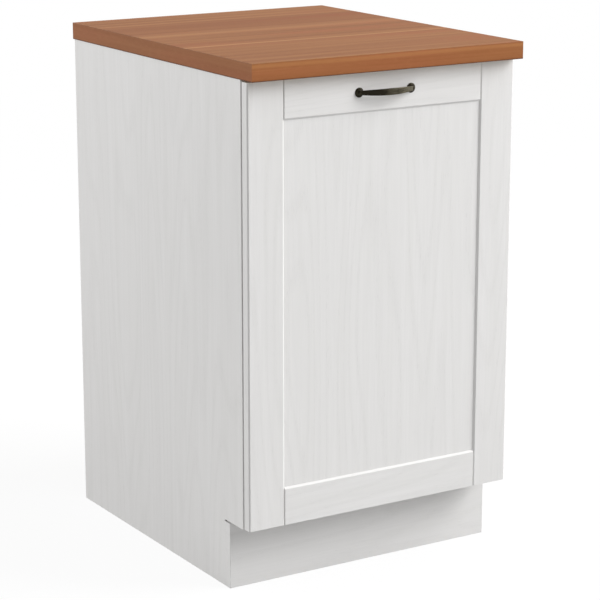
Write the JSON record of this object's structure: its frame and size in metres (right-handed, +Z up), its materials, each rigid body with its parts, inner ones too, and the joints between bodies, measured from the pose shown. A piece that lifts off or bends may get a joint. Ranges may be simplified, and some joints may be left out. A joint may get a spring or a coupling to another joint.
{
  "type": "kitchen base cabinet",
  "caption": "Floor-standing kitchen base cabinet with a wood-look worktop and a tall framed front that pulls out on ball-bearing runners with drawer boxes behind it.",
  "frame": {"origin": "on the floor, at the middle of the worktop's outline seen from above", "axes": "+Z up, +Y towards the wall behind, +X towards the right as seen from the front; the front pulls out along -Y"},
  "size_m": [0.5, 0.6, 0.85],
  "materials": {
    "white_front": "satin white wood-grain foil on MDF",
    "white_board": "white wood-grain melamine on chipboard",
    "cherry_laminate": "satin cherry-look laminate",
    "cherry_edging": "cherry-look edging, satin",
    "chipboard": "raw pressed chipboard",
    "hardboard_white": "white-lacquered hardboard",
    "drawer_board": "white foil on chipboard",
    "beech": "fluted beech dowel",
    "zinc_steel": "bright zinc plate on cold-rolled steel",
    "ball_steel": "polished hardened steel",
    "fixing_zinc": "zinc-plated fixings",
    "antique_bronze": "dark antique bronze, brushed through on the bow",
    "moulded_white": "white moulded plastic",
    "bumper_clear": "clear soft polyurethane"
  },
  "bodies": {
    "carcass": {"side_panel_left": "white_board", "side_panel_right": "white_board", "bottom_panel": "white_board", "back_panel": "hardboard_white", "front_rail": "white_board", "rear_rail": "white_board", "wall_rail": "white_board", "plinth_board": "white_board", "plinth_brackets": "moulded_white", "plinth_screws": "fixing_zinc", "carcass_dowels": "beech", "cam_locks": "fixing_zinc", "cam_bolts": "fixing_zinc", "back_nails": "fixing_zinc", "worktop_core": "chipboard", "worktop_laminate": "cherry_laminate", "worktop_edging_front": "cherry_edging", "worktop_edging_left": "cherry_edging", "worktop_edging_right": "cherry_edging", "worktop_screws": "fixing_zinc", "cabinet_runner_screws": "fixing_zinc", "cabinet_runner_lower_left": "zinc_steel", "cabinet_runner_lower_right": "zinc_steel", "cabinet_runner_upper_left": "zinc_steel", "cabinet_runner_upper_right": "zinc_steel"},
    "pull_out": {"front_stile_left": "white_front", "front_stile_right": "white_front", "front_top_rail": "white_front", "front_bottom_rail": "white_front", "front_panel": "white_front", "bumpers": "bumper_clear", "handle_bow": "antique_bronze", "handle_rosettes": "antique_bronze", "handle_screws": "fixing_zinc", "front_screws": "fixing_zinc", "box_dowels": "beech", "drawer_runner_screws": "fixing_zinc", "drawer_runner_lower_left": "zinc_steel", "drawer_runner_lower_right": "zinc_steel", "drawer_runner_upper_left": "zinc_steel", "drawer_runner_upper_right": "zinc_steel", "lower_box_side_left": "drawer_board", "lower_box_side_right": "drawer_board", "lower_box_front": "drawer_board", "lower_box_back": "drawer_board", "lower_box_bottom": "hardboard_white", "upper_box_side_left": "drawer_board", "upper_box_side_right": "drawer_board", "upper_box_front": "drawer_board", "upper_box_back": "drawer_board", "upper_box_bottom": "hardboard_white"},
    "middle_member_lower_left": {"middle_runner_lower_left": "zinc_steel"},
    "middle_member_lower_right": {"middle_runner_lower_right": "zinc_steel"},
    "middle_member_upper_left": {"middle_runner_upper_left": "zinc_steel"},
    "middle_member_upper_right": {"middle_runner_upper_right": "zinc_steel"},
    "outer_cage_set": {"outer_ball_cages": "zinc_steel", "outer_balls": "ball_steel"},
    "inner_cage_set": {"inner_ball_cages": "zinc_steel", "inner_balls": "ball_steel"}
  },
  "joints": [
    {"name": "pull_out_slide", "type": "slide", "parent": "carcass", "child": "pull_out", "axis": [0, -1, 0], "range_m": [0, 0.5]},
    {"name": "middle_lower_left_slide", "type": "slide", "parent": "carcass", "child": "middle_member_lower_left", "axis": [0, -1, 0], "range_m": [0, 0.25]},
    {"name": "middle_lower_right_slide", "type": "slide", "parent": "carcass", "child": "middle_member_lower_right", "axis": [0, -1, 0], "range_m": [0, 0.25]},
    {"name": "middle_upper_left_slide", "type": "slide", "parent": "carcass", "child": "middle_member_upper_left", "axis": [0, -1, 0], "range_m": [0, 0.25]},
    {"name": "middle_upper_right_slide", "type": "slide", "parent": "carcass", "child": "middle_member_upper_right", "axis": [0, -1, 0], "range_m": [0, 0.25]},
    {"name": "outer_cages_slide", "type": "slide", "parent": "carcass", "child": "outer_cage_set", "axis": [0, -1, 0], "range_m": [0, 0.125]},
    {"name": "inner_cages_slide", "type": "slide", "parent": "carcass", "child": "inner_cage_set", "axis": [0, -1, 0], "range_m": [0, 0.375]}
  ],
  "couplings": [
    {"joint": "middle_lower_left_slide", "follows": "pull_out_slide", "ratio": 0.5},
    {"joint": "middle_lower_right_slide", "follows": "pull_out_slide", "ratio": 0.5},
    {"joint": "middle_upper_left_slide", "follows": "pull_out_slide", "ratio": 0.5},
    {"joint": "middle_upper_right_slide", "follows": "pull_out_slide", "ratio": 0.5},
    {"joint": "outer_cages_slide", "follows": "pull_out_slide", "ratio": 0.25},
    {"joint": "inner_cages_slide", "follows": "pull_out_slide", "ratio": 0.75}
  ]
}
